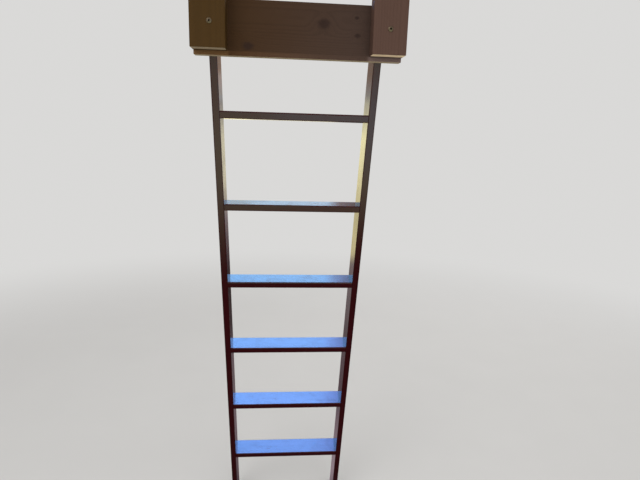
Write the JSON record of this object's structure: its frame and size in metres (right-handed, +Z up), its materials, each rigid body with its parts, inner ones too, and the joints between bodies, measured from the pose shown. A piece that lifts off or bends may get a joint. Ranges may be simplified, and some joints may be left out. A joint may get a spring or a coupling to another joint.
{
  "type": "loft ladder",
  "caption": "Steep timber loft ladder: treads housed between plank stringers, with a hanger board and bolted hanger blocks that tie its top to a loft's edge beam.",
  "frame": {"origin": "middle of the hanger board's top edge, the flat face that bears on the underside of the loft's beam", "axes": "+Z up; +Y level, from the beam side to the climbing side; +X level, to the right of someone who stands under the loft and faces the ladder"},
  "size_m": [0.576, 0.7155, 2.153],
  "materials": {
    "stained_wood": "dark wine-brown stain under gloss varnish",
    "hanger_timber": "planed softwood with a brown satin stain",
    "screw_steel": "zinc plated"
  },
  "bodies": {
    "root": {"stringer_left": "stained_wood", "stringer_right": "stained_wood", "tread_1": "stained_wood", "tread_2": "stained_wood", "tread_3": "stained_wood", "tread_4": "stained_wood", "tread_5": "stained_wood", "tread_6": "stained_wood", "plug_left": "stained_wood", "plug_right": "stained_wood", "hanger_board": "hanger_timber", "hanger_block_left": "hanger_timber", "hanger_block_right": "hanger_timber", "block_screw_left": "screw_steel", "block_screw_right": "screw_steel", "stringer_screw_left": "screw_steel", "stringer_screw_right": "screw_steel"}
  },
  "joints": []
}
